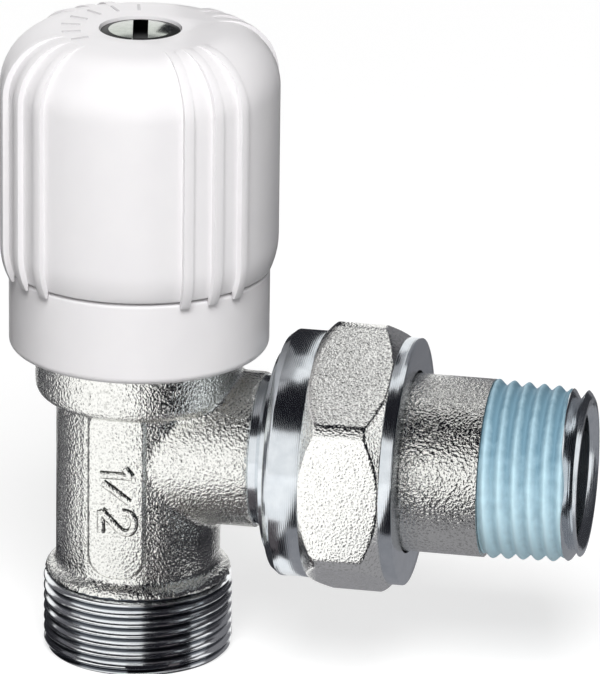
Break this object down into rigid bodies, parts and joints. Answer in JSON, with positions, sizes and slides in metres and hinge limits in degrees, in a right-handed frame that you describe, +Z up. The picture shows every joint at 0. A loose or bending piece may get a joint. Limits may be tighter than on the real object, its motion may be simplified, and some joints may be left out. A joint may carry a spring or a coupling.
{
  "type": "angle valve",
  "caption": "Manual radiator angle valve: forged plated body with a threaded inlet below, a ribbed white handwheel on a rising spindle, and a union nut holding a threaded tail at the side.",
  "frame": {"origin": "centre of the inlet's end face", "axes": "+Z up along the spindle, +X along the outlet, away from the valve"},
  "size_m": [0.0715, 0.0332, 0.0783],
  "materials": {
    "plated_brass": "nickel-plated",
    "bare_brass": "turned",
    "steel": "zinc-plated",
    "seal_rubber": "moulded",
    "white_plastic": "moulded, soft gloss",
    "sealant": "dried coat"
  },
  "bodies": {
    "valve": {"valve_body": "plated_brass", "bonnet": "bare_brass", "bonnet_seal": "seal_rubber", "gland_washer": "steel", "gland_nut": "bare_brass", "skirt": "white_plastic", "tailpiece": "plated_brass", "union_o_ring": "seal_rubber", "thread_sealant": "sealant"},
    "disc": {"disc_carrier": "bare_brass", "disc_washer": "seal_rubber", "disc_nut": "bare_brass", "disc_clip": "steel"},
    "handwheel": {"handwheel": "white_plastic", "handwheel_screw": "steel", "screw_washer": "steel", "wheel_insert": "bare_brass", "spindle": "bare_brass", "spindle_o_ring_lower": "seal_rubber", "spindle_o_ring_upper": "seal_rubber"},
    "union_nut": {"union_nut": "plated_brass"}
  },
  "joints": [
    {"name": "disc_lift", "type": "slide", "parent": "valve", "child": "disc", "axis": [0, 0, 1], "range_m": [0, 0.003]},
    {"name": "handwheel_turn", "type": "hinge", "parent": "disc", "child": "handwheel", "pos_m": [0, 0, 0.06], "axis": [0, 0, 1], "range_deg": [0, 720]},
    {"name": "union_nut_turn", "type": "hinge", "parent": "valve", "child": "union_nut", "pos_m": [0.026, 0, 0.0264], "axis": [1, 0, 0], "continuous": true}
  ],
  "couplings": [
    {"joint": "handwheel_turn", "follows": "disc_lift", "rad_per_m": 4188}
  ]
}
